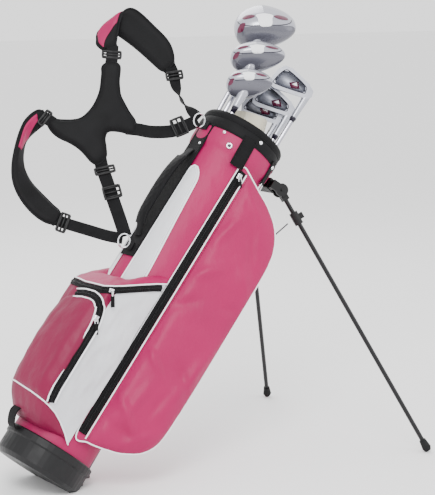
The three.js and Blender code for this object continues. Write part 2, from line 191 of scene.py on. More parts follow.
# Each look: the slot it fills and its material.
LOOKS = {
    "pink": ("body_fabric", nylon("pink_nylon", PINK)),
    "pink_dark": ("pocket_fabric", nylon("dark_pink_nylon", PINK_DARK)),
    "white": ("pocket_fabric", nylon("white_nylon", WHITE, 0.45)),
    "piping": ("pocket_fabric", plastic("white_piping", (0.86, 0.87, 0.9), 0.4)),
    "tape": ("black_webbing", woven("zipper_tape", BLACK, 0.0012)),
    "coil": ("moulded_plastic", plastic("zipper_coil", scaled(BLACK, 2), 0.3)),
    "webbing": ("black_webbing", woven("black_webbing", BLACK)),
    "foam": ("pad_fabric", mesh_foam("pad_mesh", BLACK)),
    "binding": ("black_webbing", woven("edge_binding", scaled(BLACK, 1.3), 0.001)),
    "collar": ("pad_fabric", mesh_foam("collar_fabric", BLACK)),
    "plastic": ("moulded_plastic", plastic("moulded_plastic", scaled(BLACK, 1.4))),
    "tube": ("stand_tube", plastic("stand_tube_paint", scaled(BLACK, 2), 0.28, 400)),
    "rubber": ("tip_rubber", plastic("tip_rubber", scaled(BLACK, 1.2), 0.7, 600)),
    "grip": ("grip_rubber", plastic("grip_rubber", (0.012, 0.012, 0.013), 0.62, 500)),
    "wire": ("wire_steel", metal("drawn_wire", (0.12, 0.12, 0.13), 0.35)),
    "chrome": ("ring_steel", metal("chrome", (0.82, 0.83, 0.86), 0.1)),
    "steel": ("iron_head_steel", metal("club_steel", (0.42, 0.43, 0.48), 0.28, grain=900)),
    "brushed": ("iron_head_steel", metal("brushed_steel", (0.3, 0.31, 0.36), 0.5, (1, 14, 1), 500)),
    "shaft": ("shaft_metal", metal("shaft_plating", (0.4, 0.4, 0.45), 0.16)),
    "pearl": ("wood_head_paint", pearl("pearl_paint", (0.36, 0.365, 0.42))),
    "face": ("wood_head_paint", pearl("silver_paint", (0.1, 0.1, 0.125))),
    "magenta": ("wood_head_paint", pearl("magenta_paint", (0.1, 0.001, 0.03))),
    "ink": ("wood_head_paint", plastic("dark_paint", (0.012, 0.01, 0.02), 0.3)),
    "cream": ("putter_paint", plastic("cream_paint", (0.62, 0.58, 0.46), 0.3, 500)),
}


# Mesh builders. They take and give points of the bag's own frame, in millimetres.

def mesh_piece(name, points, faces, look, body="bag", uv=None):
    mesh = bpy.data.meshes.new(name)
    mesh.from_pydata([on_bag(p) for p in points], [], faces)
    slot, material = LOOKS[look]
    mesh.materials.append(material)
    mesh.polygons.foreach_set("use_smooth", [True] * len(mesh.polygons))
    if uv:
        layer = mesh.uv_layers.new(name="UVMap")
        for loop in mesh.loops:
            layer.data[loop.index].uv = uv[loop.vertex_index]
    mesh.update()
    made = bpy.data.objects.new(name, mesh)
    bpy.context.scene.collection.objects.link(made)
    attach(made, body)
    return made


def flipped(faces):
    return [tuple(reversed(face)) for face in faces]


def loft(rings, closed=True, capped=True):
    """Points and faces of a skin over rings that all have as many points."""
    around = len(rings[0])
    points = [Vector(p) for ring in rings for p in ring]
    faces = []
    for low in range(0, len(points) - around, around):
        high = low + around
        for column in range(around if closed else around - 1):
            right = (column + 1) % around
            faces.append((low + column, low + right, high + right, high + column))
    if closed and capped:
        faces.append(tuple(reversed(range(around))))
        faces.append(tuple(range(len(points) - around, len(points))))
    return points, faces


def spline(points, count, closed=False):
    """Evenly spaced points on a smooth curve through the given ones."""
    points = [np.array(p, float) for p in points]
    if closed:
        padded = [points[-1], *points, points[0], points[1]]
    else:
        padded = [2 * points[0] - points[1], *points, 2 * points[-1] - points[-2]]
    dense = []
    for a, b, c, d in zip(padded, padded[1:], padded[2:], padded[3:]):
        for t in np.linspace(0, 1, 12, endpoint=False):
            dense.append(0.5 * (2 * b + (c - a) * t + (2 * a - 5 * b + 4 * c - d) * t * t
                                + (3 * b - a - 3 * c + d) * t ** 3))
    dense.append(points[0] if closed else points[-1])
    dense = np.array(dense)
    steps = np.linalg.norm(np.diff(dense, axis=0), axis=1)
    along = np.concatenate([[0], np.cumsum(steps)])
    wanted = np.linspace(0, along[-1], count, endpoint=not closed)
    return np.stack([np.interp(wanted, along, axis) for axis in dense.T], 1)


def unit(vector):
    return vector / np.linalg.norm(vector)


def circle(count):
    """Angles evenly round a full turn."""
    return np.linspace(0, 2 * math.pi, count, endpoint=False)


def length_of(path):
    return np.linalg.norm(np.diff(np.array(path, float), axis=0), axis=1).sum()


def tangents(path, closed=False):
    if closed:
        steps = np.roll(path, -1, axis=0) - np.roll(path, 1, axis=0)
    else:
        steps = np.gradient(path, axis=0)
    return steps / np.linalg.norm(steps, axis=1)[:, None]


def tube(path, radius, sides=8, closed=False):
    """A round tube along a path."""
    path = np.array(path, float)
    rings = []
    across = None
    for point, along in zip(path, tangents(path, closed)):
        if across is None:
            across = np.cross(along, [0.3, 0.5, 0.8])
        across = unit(across - along * across.dot(along))
        up = np.cross(along, across)
        rings.append([point + radius * (math.cos(t) * across + math.sin(t) * up)
                      for t in circle(sides)])
    if closed:
        rings.append(rings[0])
    return loft(rings, capped=not closed)


def turned(centre, axes, profile, count):
    """A skin turned about the last of three axes; its profile is reach along it and radius."""
    side, other, along = axes
    return loft([[centre + along * reach + radius * (math.cos(t) * side + math.sin(t) * other)
                  for t in circle(count)] for reach, radius in profile])


def tube_piece(name, path, radius, look, sides=8, closed=False, body="bag"):
    points, faces = tube(path, radius, sides, closed)
    return mesh_piece(name, points, faces, look, body)


def padded_piece(name, points, faces, look, node, fill, body="bag"):
    """A stuffed piece that stands in for a node of the frame."""
    made = mesh_piece(name, points, faces, look, body)
    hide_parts(node)


def strap(path, facing, width, thickness):
    """Points, faces and UVs of a flat band along a path, its broad side facing a way."""
    path = np.array(path, float)
    facing = np.broadcast_to(np.array(facing, float), path.shape)
    section = [(-0.5, -0.2), (-0.47, 0.5), (0, 0.56), (0.47, 0.5), (0.5, -0.2), (0.45, -0.5),
               (0, -0.56), (-0.45, -0.5)]
    rings, uv = [], []
    travelled = 0.0
    previous = path[0]
    for point, along, normal in zip(path, tangents(path), facing):
        across = unit(np.cross(normal, along))
        out = np.cross(along, across)
        travelled += float(np.linalg.norm(point - previous))
        previous = point
        rings.append([point + across * a * width + out * b * thickness for a, b in section])
        uv += [(travelled * 0.001, a * width * 0.001) for a, _ in section]
    points, faces = loft(rings)
    return points, faces, uv


def strap_piece(name, path, facing, width, thickness, look, body="bag", node=None):
    points, faces, uv = strap(path, facing, width, thickness)
    made = mesh_piece(name, points, faces, look, body, uv)
    split = made.modifiers.new("crease", "EDGE_SPLIT")
    split.split_angle = math.radians(50)
    if node:
        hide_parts(node)


def filled(outline, spacing):
    """Points and triangles that fill an outline, and each point's distance from its edge."""
    edge = np.array(outline, float)
    following = np.roll(edge, -1, axis=0)
    low, high = edge.min(0), edge.max(0)
    grid = np.array([(x, y) for x in np.arange(low[0], high[0], spacing)
                     for y in np.arange(low[1], high[1], spacing)])
    candidates = np.concatenate([edge, grid + 0.01])

    step = following - edge
    offset = candidates[:, None] - edge[None]
    share = np.clip((offset * step).sum(2) / (step * step).sum(1), 0, 1)
    away = np.linalg.norm(offset - share[..., None] * step, axis=2).min(1)
    crossing = (edge[:, 1] > candidates[:, None, 1]) != (following[:, 1] > candidates[:, None, 1])
    rise = np.where(step[:, 1] == 0, 1e-9, step[:, 1])
    reach = edge[:, 0] + (candidates[:, None, 1] - edge[:, 1]) * step[:, 0] / rise
    inside = (crossing & (candidates[:, None, 0] < reach)).sum(1) % 2 == 1
    keep = inside & (away > spacing * 0.5)
    keep[:len(edge)] = True

    flat = [Vector(p) for p in candidates[keep]]
    ring = [(i, (i + 1) % len(edge)) for i in range(len(edge))]
    points, _, faces, _, _, _ = geometry.delaunay_2d_cdt(flat, ring, [], 1, 1e-6)
    distance = away[keep].copy()
    distance[:len(edge)] = 0
    return [tuple(p) for p in points], [tuple(f) for f in faces], distance


def dome(distance, reach):
    """How far a stuffed panel has risen, from 0 at its edge to 1 beyond a reach."""
    share = np.clip(distance / reach, 0, 1)
    return np.sqrt(1 - (1 - share) ** 2)


def fold(point, start, end, width, height):
    """The height of one soft fold that runs between two points of a panel."""
    start, end, point = np.array(start), np.array(end), np.array(point)
    step = end - start
    share = np.clip(np.dot(point - start, step) / np.dot(step, step), 0, 1)
    away = np.linalg.norm(point - start - share * step)
    return height * math.sin(math.pi * (0.1 + 0.8 * share)) * math.exp(-(away / width) ** 2)


def rounded_box(name, size, centre, look, body, turn, bevel):
    """A moulded block, in its own frame turned by a matrix about its centre."""
    half = [s / 2 for s in size]
    corners = [Vector((x * half[0], y * half[1], z * half[2]))
               for x in (-1, 1) for y in (-1, 1) for z in (-1, 1)]
    points = [Vector(centre) + turn @ c for c in corners]
    faces = [(0, 1, 3, 2), (4, 6, 7, 5), (0, 4, 5, 1), (2, 3, 7, 6), (0, 2, 6, 4), (1, 5, 7, 3)]
    made = mesh_piece(name, points, faces, look, body)
    round_edges(made, bevel * 0.001, 3)
    return made


def round_edges(made, width, segments=2):
    bevel = made.modifiers.new("bevel", "BEVEL")
    bevel.width = width
    bevel.segments = segments
    bevel.limit_method = "ANGLE"
    bevel.angle_limit = math.radians(32)
    bevel.harden_normals = True


# Points on the bag

def on_shell(angle, z, radius=SHELL_RADIUS):
    """A point on the round body; the angle is in degrees from the leg side."""
    turn = math.radians(angle)
    return (radius * math.cos(turn), radius * math.sin(turn), z)


def outward(angle):
    """The direction straight out of the body at an angle."""
    return on_shell(angle, 0, 1)


def wrinkle(point, size, height):
    return height * noise.noise(Vector(point) / size)


def revolved(profile, sides, ripple=0.0):
    """A skin turned about the bag's axis, with a soft ripple on its outer side."""
    rings = []
    for radius, z in profile:
        ring = []
        for turn in np.linspace(0, 360, sides, endpoint=False):
            point = on_shell(turn, z, radius)
            swell = wrinkle(point, 45, ripple) + wrinkle(point, 17, ripple * 0.3)
            ring.append(on_shell(turn, z, radius + swell))
        rings.append(ring)
    return loft(rings, capped=False)


# Body, collar and fittings

def above_foot(points):
    """The points, with those below the slanting cut over the pivot foot raised onto it."""
    cut = [(FOOT_CLEARANCE - RIM_HEIGHT + math.sin(LEAN) * x) / math.cos(LEAN) for x, _, _ in points]
    return [Vector((x, y, max(z, height))) for (x, y, z), height in zip(points, cut)]


def body_skin():
    heights = list(np.linspace(-30, 640, 60)) + [646, 651, 655, 660, 668, 676, 682]
    flare = {655: 84.6, 660: 85, 668: 85, 676: 85, 682: 84.4}
    outer = [(flare.get(z, SHELL_RADIUS + max(0, z - 640) * 0.3), z) for z in heights]
    inner = [(SHELL_RADIUS - 2.2, z) for z in (655, 300, -8)]
    points, faces = revolved(outer, 120, 0.5)
    skin = mesh_piece("shell_skin", above_foot(points), faces, "pink")
    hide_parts("shell")
    points, faces = revolved(inner, 48)
    mesh_piece("shell_lining", above_foot(points), faces, "tape")


def collar_ring():
    profile = [
        (76.3, 668), (76.2, 702), (76.2, 712), (77.5, 716), (80, COLLAR_TOP), (83, 717.4),
        (85, 714.6), (85.8, 711), (85.2, 708), (84.2, 705.6), (83.9, COLLAR_SEAM), (84.4, 702.2),
        (85.5, 699.5), (86.2, 694), (86.2, 688), (85.7, 684), (84.8, COLLAR_BOTTOM),
        (83.6, COLLAR_BOTTOM - 1), (83.2, 670), (83, 656), (81, 655),
    ]
    points, faces = revolved(profile, 120, 0.35)
    padded_piece("collar_padding", points, faces, "collar", "collar", 0.7)
    for name, z, radius in [("seam", COLLAR_SEAM, 84.3), ("edge", COLLAR_BOTTOM, 85.4)]:
        path = [on_shell(turn, z, radius) for turn in np.linspace(0, 360, 96, endpoint=False)]
        tube_piece(f"collar_{name}", path, 0.9, "binding", 6, closed=True)


def stitches(name, path, facing, look):
    """A row of thread stitches along a path, as one mesh."""
    radius, pitch = 0.35, 4.8
    dense = spline(path, max(8, int(length_of(path) / pitch) * 2 + 1))
    points, faces = [], []
    for a, b in zip(dense[::2], dense[1::2]):
        lift = np.array(facing) * radius
        bar, sides = tube([a + lift, (a + b) / 2 + lift * 2, b + lift], radius, 5)
        faces += [tuple(i + len(points) for i in side) for side in sides]
        points += bar
    mesh_piece(name, points, faces, look)


def facing_out(angle):
    """Three axes at an angle round the bag, the last of them pointing outward."""
    turn = Vector(outward(angle)).to_track_quat("Z", "Y").to_matrix()
    return [turn.col[i] for i in range(3)]


def stud(name, angle, z, radius, look="chrome", height=2.4, base=85):
    """A round metal snap or rivet on the bag's side."""
    profile = [(-1, 1), (height * 0.3, 1), (height * 0.7, 0.86), (height, 0.5),
               (height * 0.75, 0.44), (height * 0.7, 0.1)]
    profile = [(reach, radius * share) for reach, share in profile]
    points, faces = turned(Vector(on_shell(angle, z, base)), facing_out(angle), profile, 20)
    mesh_piece(name, points, faces, look)


def eyelet(name, angle, z, radius, base):
    side, other, out = facing_out(angle)
    centre = Vector(on_shell(angle, z, base)) + out * 0.6
    path = [centre + radius * (math.cos(t) * side + math.sin(t) * other) for t in circle(28)]
    tube_piece(name, path, radius * 0.38, "chrome", closed=True)
    stud(f"{name}_hole", angle, z, radius * 0.75, "ink", 0.5, base)


def collar_fittings():
    stud("snap_left", -147, 676, 3.4)
    stud("snap_front", -99, 696, 3.8)
    stud("snap_right", -42, 692, 3.0)
    stud("spine_rivet", -172, 639, 3.2, base=84)
    eyelet("eyelet", -132, 656, 4.6, 85.2)


def collar_tab():
    angle = -111
    path = [on_shell(angle - 2 + 2 * t, 690 - 62 * t, 87.2 - 1.5 * t) for t in np.linspace(0, 1, 12)]
    strap_piece("collar_tab_webbing", path, outward(angle), WEBBING + 3, 2.4, "webbing",
                node="collar_tab")
    for side in (-1, 1):
        row = [Vector(p) + Vector(outward(angle + 90)) * side * 11 for p in path]
        stitches(f"collar_tab_stitch_{side + 1}", row, Vector(outward(angle)) * 4.6, "binding")


def towel_strap():
    """A short strap with a snap and a small white clip, beside the legs."""
    path = [on_shell(-60 + 4 * t, 690 - 52 * t, 87.6 - 2 * t) for t in np.linspace(0, 1, 10)]
    strap_piece("towel_strap_webbing", path, outward(-58), 15, 2.4, "webbing", node="towel_strap")
    stud("towel_snap", -59, 678, 4.2, base=88.4)
    loop = [on_shell(-56 + dx, z + 20, 86.4) for dx, z in
            [(-3, 620), (-4, 612), (-3.5, 600), (0, 594), (3.5, 600), (4, 612), (3, 620)]]
    tube_piece("towel_clip", spline(loop, 30), 1.5, "piping")


def spine():
    """The black strip up the spine side and the white panel beside it."""
    path = [on_shell(180, z, SHELL_RADIUS + 1.6) for z in np.linspace(382, 690, 60)]
    strap_piece("spine_webbing", path, outward(180), 44, 2.6, "webbing", node="spine_strip")
    for side in (-1, 1):
        row = [Vector(p) + Vector((-1.3, side * 18.5, 0)) for p in path]
        stitches(f"spine_stitch_{side + 1}", row, outward(180), "binding")
    for name, mirror in [("near", 1), ("far", -1)]:
        white_panel(name, mirror)


def white_panel(name, mirror):
    """A tapered white panel with a rounded top; its outline is in degrees and heights."""
    outline = spline([(-165, 330), (-165, 420), (-165.5, 520), (-165.5, 575), (-163, 590),
                      (-157, 594), (-150, 585), (-145.5, 570), (-144, 545), (-141, 480),
                      (-137, 400), (-134, 330)], 90)
    flat, faces, distance = filled([(angle * DEGREE, z) for angle, z in outline], 7)
    rise = 1.2 + 2.2 * dome(distance, 9)
    points = []
    for (arc, z), lift in zip(flat, rise):
        points.append(on_shell(mirror * arc / DEGREE, z, SHELL_RADIUS + lift))
    mesh_piece(f"white_panel_{name}", points, faces if mirror > 0 else flipped(faces), "white")
    for inset, radius in [(0, PIPING_RADIUS), (4.5, 0.7)]:
        edge = [on_shell(mirror * (a + inset * (0.35 if a < -155 else -0.6)), z - inset * 0.4,
                         SHELL_RADIUS + 1.6 + inset * 0.35) for a, z in outline]
        tube_piece(f"white_panel_{name}_piping_{int(inset)}", edge, radius, "piping")


def carry_handle():
    """A padded grip arched off the spine, with a dimpled mesh cover."""
    path = spline([(-85, 0, 424), (-93, 0, 444), (-101, 0, 470), (-103, 0, 520), (-101, 0, 565),
                   (-93, 0, 600), (-85, 0, 622)], 90)
    sideways = np.array([0, 1, 0])
    rings = []
    for index, (point, along) in enumerate(zip(path, tangents(path))):
        share = (index / (len(path) - 1) - 0.1) / 0.8
        swell = math.sin(math.pi * share) ** 0.4 if 0 < share < 1 else 0
        out = np.cross(along, sideways)
        ring = []
        for turn in circle(40):
            across, lift = math.cos(turn), math.sin(turn)
            row = math.cos(index * math.pi / 4.5)
            dimple = 0.9 * swell * max(0, row * math.cos(across * 9)) * (lift > -0.2)
            wide = (10 + 4.5 * swell) * math.copysign(abs(across) ** 0.7, across)
            thick = (1.6 + 4.6 * swell - dimple) * math.copysign(abs(lift) ** 0.8, lift)
            ring.append(point + sideways * wide + out * thick)
        rings.append(ring)
    padded_piece("carry_grip", *loft(rings), "foam", "carry_handle", 0.8)
    for side in (-1, 1):
        edge = [p + np.array([-1.5, side * 13.4, 0]) for p in path[10:-10]]
        tube_piece(f"carry_binding_{side + 1}", edge, 1.4, "binding", 6)


def base_loop():
    path = spline([(-86, 0, 4), (-97, 0, -1), (-107, 0, 11), (-111, 0, 26), (-104, 0, 38),
                   (-92, 0, 42), (-83, 0, 38)], 50)
    facing = np.cross(tangents(path), [0, 1, 0])
    strap_piece("base_loop_webbing", path, facing, WEBBING, 2.6, "webbing", node="base_loop")


# Apparel pocket: s runs across its front from the seam by the zipper, z up the bag.

FRONT_SEAM = np.array([-24.5, -78, 0])
FRONT_ACROSS = np.array([0.902, -0.432, 0])
FRONT_OUT = np.array([-0.432, -0.902, 0])
APPAREL_OUTLINE = [
    (2, 50), (2, 200), (2, 400), (2, 560), (2, 626), (3, 632), (12, 638), (20, 635), (58, 614),
    (88, 598), (118, 574), (139, 541), (148, 500), (149.5, 420), (149, 300), (148, 200), (144, 118),
    (128, 82), (100, 62), (74, 52), (30, 43),
]
ZIP_INNER = 20
APPAREL_FOLDS = [
    ((24, 150), (92, 96), 9, 4.2), ((30, 90), (110, 92), 11, -3.4), ((118, 160), (142, 330), 12, 4.0),
    ((26, 250), (80, 212), 8, 3.2), ((24, 330), (66, 372), 9, -3.6), ((26, 400), (78, 452), 10, 3.6),
    ((28, 470), (58, 560), 8, 3.4), ((96, 470), (140, 430), 13, 3.4), ((84, 540), (120, 480), 9, -2.8),
    ((100, 250), (136, 210), 10, -3.2), ((60, 120), (70, 200), 9, 3.0), ((84, 70), (128, 120), 8, 3.2),
    ((40, 600), (90, 560), 8, 2.4), ((110, 380), (142, 400), 8, -2.4), ((96, 130), (104, 190), 7, -2.4),
]


def front_point(s, z, lift=0.0):
    return FRONT_SEAM + FRONT_ACROSS * s + np.array([0, 0, z]) + FRONT_OUT * lift


def apparel_lift(s, z, distance):
    """How far the stuffed front stands out, with its folds; the zipper's strip stays flat."""
    puff = 15 * dome(distance, 62)
    slump = 6 * math.exp(-((z - 190) / 140) ** 2) * dome(distance, 50)
    edge = min(1, distance / 14)
    folds = 1.7 * sum(fold((s, z), *shape) for shape in APPAREL_FOLDS) * edge
    ripple = wrinkle((s, z * 0.6, 3), 30, 1.6) * edge
    past_zip = min(1, max(0, (s - ZIP_INNER) / 26))
    return (puff + slump + folds + ripple) * math.sin(past_zip * math.pi / 2)


def apparel_pocket():
    outline = spline(APPAREL_OUTLINE, 260, closed=True)
    flat, faces, distance = filled(outline, 5)
    points = [front_point(s, z, apparel_lift(s, z, d)) for (s, z), d in zip(flat, distance)]
    padded_piece("apparel_front", points, faces, "pink", "apparel_pocket", 0.5)
    apparel_wall(outline)
    path = [front_point(s, z, 0.6) for s, z in outline]
    tube_piece("apparel_piping", path, PIPING_RADIUS, "piping", closed=True)


def apparel_wall(outline):
    """The pocket's side wall, from the front's edge back to the body."""
    middle_z = 340
    rings = []
    for share in np.linspace(0, 1, 9):
        fullness = math.sin(math.pi * share)
        ring = []
        for s, z in outline:
            back_s = 67.7 * s / 149
            depth = SHELL_RADIUS - math.sqrt(max(0, SHELL_RADIUS ** 2 - (back_s + 11.6) ** 2)) + 1.2
            start = front_point(s, z)
            end = front_point(back_s, z + (middle_z - z) * 0.03, -depth)
            bulge = 7 * fullness * min(1, s / 60) * (0.2 + 0.8 * (s > 100))
            point = start + (end - start) * share + FRONT_ACROSS * bulge
            ring.append(point + FRONT_ACROSS * wrinkle(point, 26, 2.2) * fullness)
        rings.append(ring)
    points, faces = loft(rings, capped=False)
    mesh_piece("apparel_wall", points, flipped(faces), "pink")


def zipper(name, path, facing, width):
    """A zipper: black tape with a coil of teeth down its middle."""
    path = np.array(path, float)
    facing = np.broadcast_to(np.array(facing, float), path.shape)
    strap_piece(f"{name}_tape", path, facing, width, 1.2, "tape")
    count = int(length_of(path) / TOOTH_PITCH)
    line = spline(path, count)
    points, faces = [], []
    for index, (point, along, out) in enumerate(zip(line, tangents(line), spline(facing, count))):
        side = unit(np.cross(out, along)) * (1.5 if index % 2 else -1.5)
        bends = [point + side * 1.6 + out * 0.5, point + out * 1.5, point - side + out * 0.6]
        tooth, shape = tube(bends, 0.75, 5)
        faces += [tuple(i + len(points) for i in face) for face in shape]
        points += tooth
    mesh_piece(f"{name}_coil", points, faces, "coil")


def apparel_zipper():
    heights = np.linspace(52, 628, 80)
    path = [front_point(ZIP_INNER / 2 + 1, z, 1.2 + 1.2 * math.sin(math.pi * (z - 52) / 576))
            for z in heights]
    zipper("apparel_zip", path, FRONT_OUT, ZIP_INNER - 3)
    seam = [front_point(ZIP_INNER + 1.5, z, 3.2 + 2.4 * math.sin(math.pi * (z - 46) / 580))
            for z in np.linspace(46, 626, 80)]
    tube_piece("apparel_zip_piping", seam, PIPING_RADIUS, "piping")
    row = [np.array(p) + FRONT_ACROSS * 5 for p in seam]
    stitches("apparel_stitch", row, FRONT_OUT * 3, "pink_dark")


# Ball pocket: its near wall is white, its front dark pink, with a curved zipper between.

BALL_SECTION = [(-27, -83), (-48, -86), (-72, -88), (-96, -91), (-116, -92), (-128, -88),
                (-136, -74), (-139, -52), (-140, -20), (-139, 8), (-133, 32), (-114, 50), (-84, 60),
                (-56, 62), (-44, 60)]
LAST_STATION = len(BALL_SECTION) - 1.001
ZIP_STATION = 4.1        # where the zipper meets the section, counted in its points
FAR_STATION = 10.5       # where the front gives way to the far wall

# Heights at stations along the section: the lower edge dips to a point by the apparel
# pocket, the upper edge is level with the ground, and the pouch has a rounded top.
BALL_BOTTOM = ((0, 1, 2, 3, 4.1, 6, 9, 14), (20, 34, 46, 54, 58, 62, 70, 78))
BALL_TOP = ((0, 1, 2, 3, 4, 5, 6, 8, 10, 12, 14),
            (366, 354, 338, 322, 308, 299, 292, 289, 294, 326, 352))
POUCH_TOP = ((4.1, 4.6, 5.2, 6, 7, 8, 9.4, 10.5), (212, 240, 256, 264, 266, 262, 248, 224))

# How far the section draws in towards the body, at heights up the pocket.
BALL_DRAW = ((46, 52, 60, 72, 92, 130, 170, 210, 240, 280, 330, 370),
             (0.62, 0.72, 0.84, 0.94, 1, 1.03, 1.04, 1.03, 1.01, 0.99, 0.97, 0.94))


def section_at(station):
    """A point of the pocket's section, and the way out of the wall there."""
    low = min(int(station), len(BALL_SECTION) - 2)
    a, b = np.array(BALL_SECTION[low:low + 2], float)
    point = a + (b - a) * (station - low)
    out = unit(np.array([b[1] - a[1], a[0] - b[0]]))
    return point, out if out.dot(point) > 0 else -out


def on_ball(station, z, lift=0.0, draw=None):
    """A point of the pocket's skin; the station counts along the section's points."""
    point, out = section_at(station)
    draw = draw or float(np.interp(z, *BALL_DRAW))
    if draw < 1:
        body = unit(point) * (SHELL_RADIUS + 0.5)
        point = body + (point - body) * draw
    return np.array([*(point + out * (lift + max(0, draw - 1) * 60)), z])


def wall_normals(stations):
    return [np.array([*section_at(station)[1], 0]) for station in stations]


def ball_wall(name, first, last, look, low, high, columns=40, swell=0):
    """A part of the pocket's wall between two stations and two edges."""
    rings = []
    for share in np.linspace(0, 1, 45):
        edge = math.sin(math.pi * share) ** 0.5 if 0 < share < 1 else 0
        ring = []
        for station in np.linspace(first, last, columns):
            bottom, top = np.interp(station, *low), np.interp(station, *high)
            z = bottom + (top - bottom) * share
            point = on_ball(station, z)
            puff = wrinkle(point, 30, 3.0) + wrinkle(point * np.array([1, 1, 0.4]), 13, 1.2)
            across = (station - first) / (last - first)
            fullness = swell * dome(min(across, 1 - across) - 0.07, 0.3)
            ring.append(on_ball(station, z, (puff + fullness) * edge))
        rings.append(ring)
    points, faces = loft(rings, closed=False)
    return mesh_piece(name, points, flipped(faces), look)


def ball_pocket():
    wall = ball_wall("ball_wall_white", 0, ZIP_STATION, "white", BALL_BOTTOM, BALL_TOP)
    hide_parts("ball_pocket")
    pouch = ball_wall("ball_front", ZIP_STATION, FAR_STATION, "pink_dark", BALL_BOTTOM, POUCH_TOP,
                      swell=9)
    ball_wall("ball_front_upper", ZIP_STATION, FAR_STATION, "pink_dark", POUCH_TOP, BALL_TOP)
    ball_wall("ball_far", FAR_STATION, LAST_STATION, "white", BALL_BOTTOM, BALL_TOP, 20)
    ball_cap("ball_dome", BALL_TOP, 44, "pink")
    ball_cap("ball_under", BALL_BOTTOM, 20, "pink_dark", under=True)
    for name, edge in [("top", BALL_TOP), ("bottom", BALL_BOTTOM)]:
        path = [on_ball(s, np.interp(s, *edge), 1.0) for s in np.linspace(0, LAST_STATION, 100)]
        tube_piece(f"ball_piping_{name}", path, PIPING_RADIUS, "piping")
    ball_zippers()


def ball_cap(name, edge, peak, look, under=False):
    """The pocket's domed top, or its underside, drawn in to the body."""
    rings = []
    for share in np.linspace(0, 1, 16):
        rise = math.sin(share * math.pi / 2) ** (1 if under else 1.3)
        ring = []
        for station in np.linspace(0, LAST_STATION, 90):
            height = np.interp(station, *edge)
            flat = on_ball(station, height)[:2]
            body = unit(flat) * (SHELL_RADIUS - 0.5)
            middle = math.sin(math.pi * (0.06 + 0.88 * station / LAST_STATION)) ** 0.8
            top = peak + 12 * (1 - middle) if under else height + peak * middle
            x, y = flat + (body - flat) * share ** 1.2
            z = height + (top - height) * rise
            ring.append((x, y, z + wrinkle((x, y, z), 24, 2.4) * math.sin(math.pi * share)))
        rings.append(ring)
    points, faces = loft(rings, closed=False)
    mesh_piece(name, points, faces if under else flipped(faces), look)


def ball_zippers():
    """The curved zipper round the pouch, and the one round the top."""
    route = spline([(8.2, 262), (7, 268), (6, 266), (5.2, 258), (4.6, 240), (4.25, 212), (4.2, 160),
                    (4.15, 120), (4.1, 90), (4.0, 64)], 90)
    path = np.array([on_ball(station, z, 1.8) for station, z in route])
    facing = wall_normals(route[:, 0])
    zipper("ball_side_zip", path, facing, 14)
    for name, shift in [("inner", -8.2), ("outer", 8.2)]:
        edge = [point + np.cross(along, out) * shift + out * 1.4
                for point, out, along in zip(path, facing, tangents(path))]
        tube_piece(f"ball_side_piping_{name}", edge, PIPING_RADIUS, "piping")
    stations = np.linspace(0.3, len(BALL_SECTION) - 1.5, 80)
    path = [on_ball(s, np.interp(s, *BALL_TOP) - 9, 1.6) for s in stations]
    zipper("ball_top_zip", path, wall_normals(stations), 13)


# The direction in which things hang, in the bag's own frame.
HANG = Vector((math.sin(LEAN), 0, -math.cos(LEAN)))


def slider(name, node, centre, along, out, body, pull_length):
    """A silver zip slider with a bail and a black pull that hangs down."""
    centre, along, out = Vector(centre), Vector(along).normalized(), Vector(out).normalized()
    across = out.cross(along)
    turn = Matrix((across, out, along)).transposed()
    made = rounded_box(f"{name}_car", (8.5, 3.4, 12), centre, "chrome", body, turn, 1.4)
    if node:
        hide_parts(node)
    start = centre + out * 2.4
    loop = [start - along * 4, start + out * 3.6, start + along * 4]
    tube_piece(f"{name}_bridge", spline(loop, 14), 1.1, "chrome", body=body)
    start = start + out * 2
    ring = [start + HANG * t * 12 + across * s * 2.6 for t, s in
            [(0, -1), (0.5, -1.2), (1, -0.8), (1, 0.8), (0.5, 1.2), (0, 1)]]
    tube_piece(f"{name}_ring", spline(ring, 30, closed=True), 0.9, "chrome", 6, True, body)
    path = [start + HANG * (10 + t * pull_length) for t in np.linspace(0, 1, 8)]
    points, faces, uv = strap(path, out, 7, 3)
    mesh_piece(f"{name}_pull", points, faces, "webbing", body, uv)


def zip_sliders():
    slider("apparel_zip_slider", "apparel_slider", front_point(11, 616, 4), (0, 0, 1), FRONT_OUT,
           "apparel_zip", 30)
    slider("ball_zip_slider", "ball_slider", on_ball(4.7, 232, 4, 1.01), (0, 0, 1),
           (-0.5, -0.86, 0), "ball_zip", 20)
    slider("ball_top_slider", None, on_ball(4.9, 290, 4, 0.99), (-0.9, -0.1, -0.3),
           (-0.2, -0.97, 0), "bag", 20)


# Harness, in its own plane: p runs across (negative is away from the bag), v towards the
# pocket side and z up the bag.

def on_harness(p, v, z):
    c, s = math.cos(HARNESS_TURN), math.sin(HARNESS_TURN)
    return np.array([c * p + s * v, s * p - c * v, z])


HARNESS_FACING = on_harness(0, 1, 0)
HARNESS_V = 55
PAD_RISE = 6


def harness_path(points, count, closed=False):
    return [on_harness(*p) for p in spline(points, count, closed)]


def pad_bend(p):
    """How far the back pad curves out of the harness plane."""
    return HARNESS_V + 6 * math.sin((p + 330) / 45)


